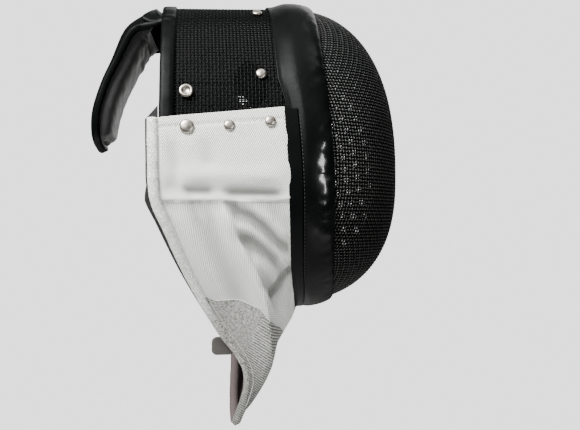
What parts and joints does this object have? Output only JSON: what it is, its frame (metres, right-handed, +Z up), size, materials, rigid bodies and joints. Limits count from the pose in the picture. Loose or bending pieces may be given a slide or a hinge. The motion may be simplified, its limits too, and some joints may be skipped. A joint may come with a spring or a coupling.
{
  "type": "fencing mask",
  "caption": "Woven wire face and crown joined by a padded band, with a cloth bib under the chin and a sprung padded tongue behind the head.",
  "frame": {"origin": "where the top of the wearer's head meets the padding under the crown, in the middle plane", "axes": "+Z up, the face looks along -Y, the wearer's right side is -X and the middle plane is X = 0"},
  "size_m": [0.2226, 0.2942, 0.4132],
  "materials": {
    "black_wire": "black powder-coated steel wire",
    "black_vinyl": "satin black vinyl over thin padding",
    "black_felt": "black felt-faced foam",
    "white_cloth": "white twill, several layers",
    "grey_cloth": "grey conductive cloth with fine ribs",
    "grey_velvet": "dark grey soft lining",
    "nickel": "nickel plated"
  },
  "bodies": {
    "root": {"crown_mesh": "black_wire", "face_mesh": "black_wire", "front_band": "black_vinyl", "rear_rim": "black_vinyl", "crown_padding": "black_felt", "side_pad_right": "black_felt", "side_pad_left": "black_felt", "chin_pad": "black_felt", "bib": "white_cloth", "bib_tip": "grey_cloth", "bib_binding": "white_cloth", "bib_edge_strip_right": "black_vinyl", "bib_edge_strip_left": "black_vinyl", "bib_lining_right": "black_felt", "bib_lining_left": "black_felt", "bib_tab": "grey_cloth", "tongue": "black_vinyl", "tongue_lining": "grey_velvet", "rivet_rear_right": "nickel", "rivet_rear_left": "nickel", "rivet_side_right": "nickel", "rivet_side_left": "nickel", "rivet_top_right": "nickel", "rivet_top_left": "nickel", "rivet_bib_rear_right": "nickel", "rivet_bib_rear_left": "nickel", "rivet_bib_middle_right": "nickel", "rivet_bib_middle_left": "nickel", "rivet_bib_front_right": "nickel", "rivet_bib_front_left": "nickel"}
  },
  "joints": []
}
